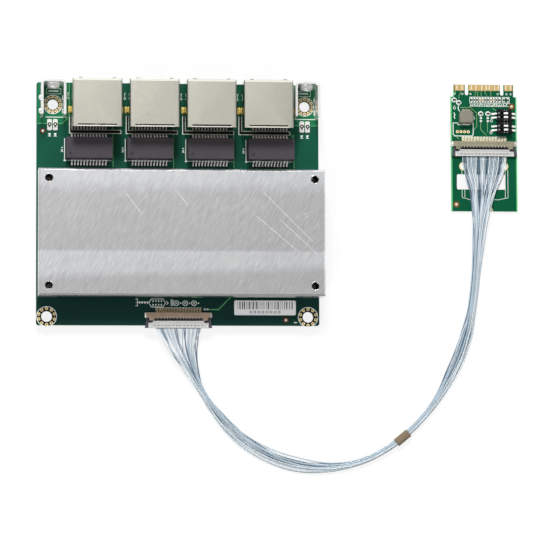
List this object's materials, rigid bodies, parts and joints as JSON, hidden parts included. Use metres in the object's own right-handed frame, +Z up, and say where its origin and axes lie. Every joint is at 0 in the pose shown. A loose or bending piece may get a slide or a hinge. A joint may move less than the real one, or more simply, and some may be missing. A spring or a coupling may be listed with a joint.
{
  "type": "ethernet adapter card",
  "caption": "Network adapter in two boards: a main board with network jacks and a heat spreader, wired by a fine harness to a small plug-in edge card.",
  "frame": {"origin": "on the surface that it lies on, below the middle of both boards taken together", "axes": "+X runs from the main board to the plug-in card, +Y points out of the network jacks, +Z is up"},
  "size_m": [0.1582, 0.1273, 0.0168],
  "materials": {
    "board_green": "satin solder mask",
    "card_green": "satin solder mask",
    "tinned_steel": "bright tin",
    "aluminium": "ground",
    "thermal_pad": "matte",
    "chip_black": "matte",
    "screw_steel": "zinc plated",
    "lamp_white": "satin",
    "label_white": "paper",
    "gilt_contacts": "gold plated",
    "inductor_grey": "moulded iron powder",
    "switch_black": "matte",
    "tinned_leads": "bright tin",
    "chip_parts": "ceramic",
    "wire_jacket": "satin",
    "tape_tan": "film tape",
    "nickel_shield": "nickel plated",
    "jack_black": "moulded",
    "transformer_black": "moulded",
    "connector_black": "moulded",
    "connector_shell": "tin plated",
    "plug_silver": "bright tin",
    "slider_white": "moulded"
  },
  "bodies": {
    "module": {"board_label": "label_white", "board_plug_body": "connector_black", "board_plug_shell": "plug_silver", "board_receptacle_body": "connector_black", "board_receptacle_contacts": "gilt_contacts", "board_receptacle_shell": "connector_shell", "bridge_chip": "chip_black", "card_board": "card_green", "card_chip_parts": "chip_parts", "card_edge_contacts": "gilt_contacts", "card_label": "label_white", "card_plug_body": "connector_black", "card_plug_shell": "plug_silver", "card_receptacle_body": "connector_black", "card_receptacle_contacts": "gilt_contacts", "card_receptacle_shell": "connector_shell", "harness_board_fan": "wire_jacket", "harness_bundle": "wire_jacket", "harness_card_fan": "wire_jacket", "harness_tape": "tape_tan", "heat_spreader": "aluminium", "jack_1_contacts": "gilt_contacts", "jack_1_housing": "jack_black", "jack_1_shield": "nickel_shield", "jack_2_contacts": "gilt_contacts", "jack_2_housing": "jack_black", "jack_2_shield": "nickel_shield", "jack_3_contacts": "gilt_contacts", "jack_3_housing": "jack_black", "jack_3_shield": "nickel_shield", "jack_4_contacts": "gilt_contacts", "jack_4_housing": "jack_black", "jack_4_shield": "nickel_shield", "lan_chips": "chip_black", "left_bracket": "tinned_steel", "main_board": "board_green", "power_inductor": "inductor_grey", "right_bracket": "tinned_steel", "spreader_screws": "screw_steel", "status_lamps": "lamp_white", "switch_1_body": "switch_black", "switch_2_body": "switch_black", "switch_leads": "tinned_leads", "thermal_pads": "thermal_pad", "transformer_1_body": "transformer_black", "transformer_1_leads": "tinned_leads", "transformer_2_body": "transformer_black", "transformer_2_leads": "tinned_leads", "transformer_3_body": "transformer_black", "transformer_3_leads": "tinned_leads", "transformer_4_body": "transformer_black", "transformer_4_leads": "tinned_leads"},
    "slider_1_a": {"switch_1_slider_a": "slider_white"},
    "slider_1_b": {"switch_1_slider_b": "slider_white"},
    "slider_2_a": {"switch_2_slider_a": "slider_white"},
    "slider_2_b": {"switch_2_slider_b": "slider_white"}
  },
  "joints": [
    {"name": "switch_1_slider_a_slide", "type": "slide", "parent": "module", "child": "slider_1_a", "axis": [-1, 0, 0], "range_m": [0, 0.0009]},
    {"name": "switch_1_slider_b_slide", "type": "slide", "parent": "module", "child": "slider_1_b", "axis": [-1, 0, 0], "range_m": [0, 0.0009]},
    {"name": "switch_2_slider_a_slide", "type": "slide", "parent": "module", "child": "slider_2_a", "axis": [-1, 0, 0], "range_m": [0, 0.0009]},
    {"name": "switch_2_slider_b_slide", "type": "slide", "parent": "module", "child": "slider_2_b", "axis": [-1, 0, 0], "range_m": [0, 0.0009]}
  ]
}
